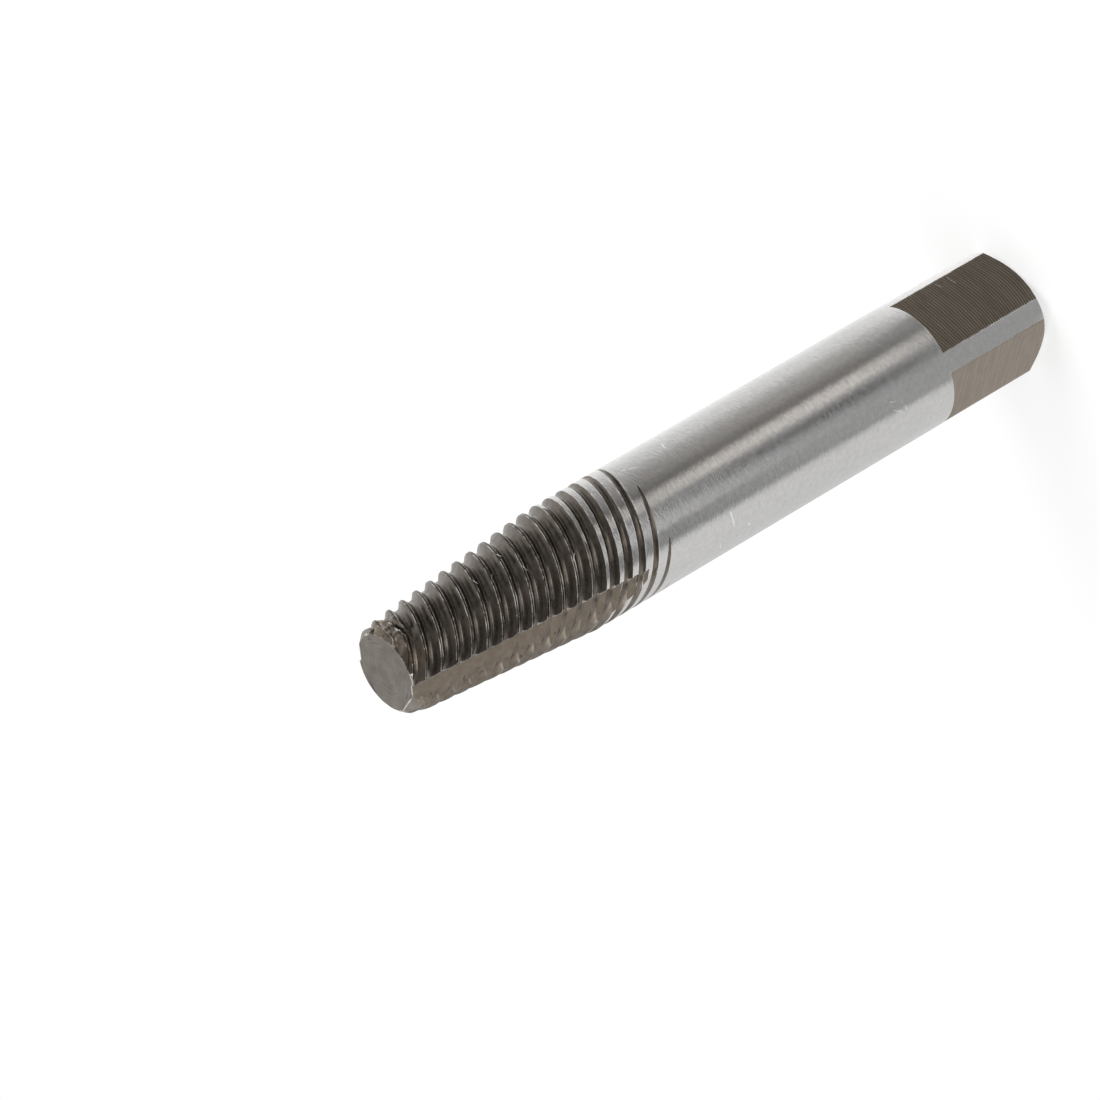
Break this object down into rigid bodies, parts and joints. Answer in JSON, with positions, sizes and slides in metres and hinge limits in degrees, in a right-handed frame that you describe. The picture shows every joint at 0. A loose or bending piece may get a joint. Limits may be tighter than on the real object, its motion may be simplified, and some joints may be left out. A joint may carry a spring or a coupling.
{
  "type": "screw extractor",
  "caption": "Screw extractor with a square drive, a round shank and a tapered left-hand thread with ground cutting flats.",
  "frame": {"origin": "centre of the drive end face, which the tool stands on", "axes": "+Z along the tool from the drive end to the tip; +X and +Y square to flats of the square drive"},
  "size_m": [0.011, 0.011, 0.069],
  "materials": {
    "steel": "ground bright shank, dark machined thread and drive"
  },
  "bodies": {
    "root": {"extractor": "steel"}
  },
  "joints": []
}
